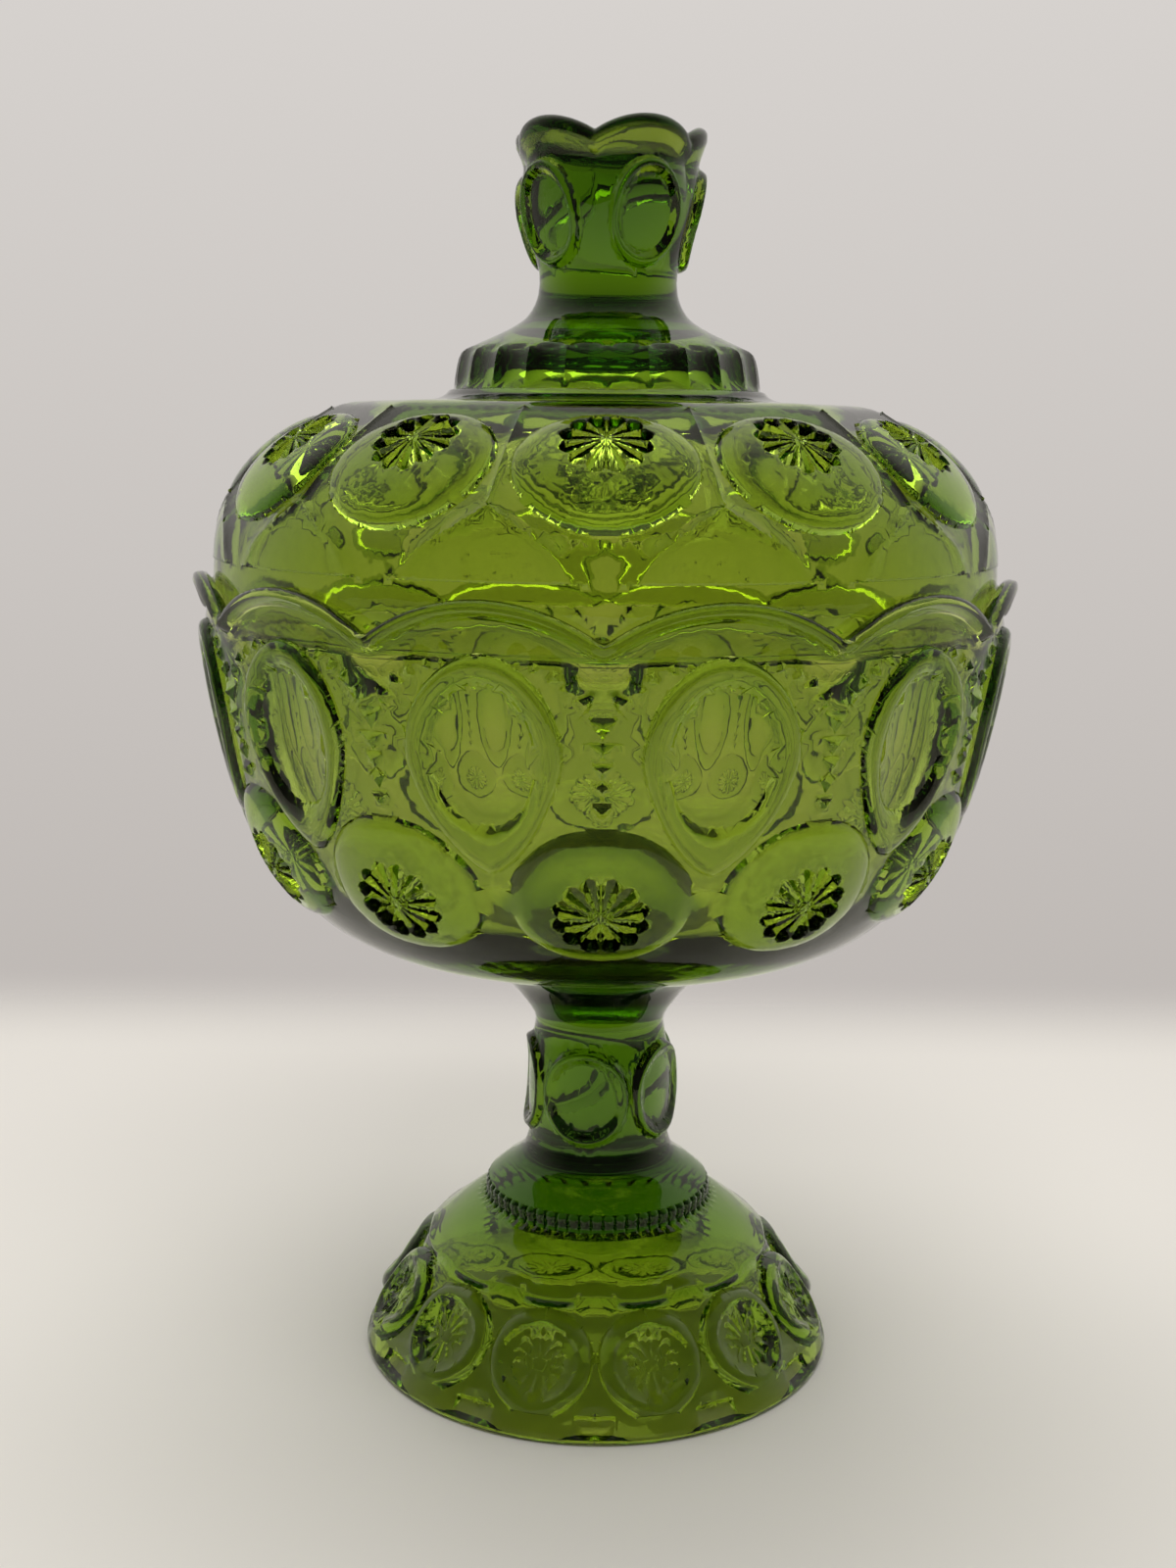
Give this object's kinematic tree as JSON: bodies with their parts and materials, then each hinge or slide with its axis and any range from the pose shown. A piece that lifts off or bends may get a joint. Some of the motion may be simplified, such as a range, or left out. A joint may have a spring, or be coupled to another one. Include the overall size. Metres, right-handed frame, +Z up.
{
  "type": "covered compote",
  "caption": "Tall pressed-glass compote: a bowl with an arched rim on a stem and a domed foot, closed by a loose domed lid with a crown-shaped finial.",
  "frame": {"origin": "centre of the ring that the foot stands on", "axes": "+Z up along the axis of the dish, from the foot to the finial; -Y is the front, where a dip of the rim and a disc of the bowl face"},
  "size_m": [0.1988, 0.1988, 0.3054],
  "materials": {
    "green_glass": "transparent moss-green soda-lime glass, fire-polished after pressing"
  },
  "bodies": {
    "base": {"foot": "green_glass", "stem": "green_glass", "joining_wafer": "green_glass", "bowl": "green_glass"},
    "lid": {"lid_dome": "green_glass", "lid_finial": "green_glass"}
  },
  "joints": [
    {"name": "lid_lift", "type": "slide", "parent": "base", "child": "lid", "axis": [0, 0, 1], "range_m": [0, 0.15]}
  ]
}
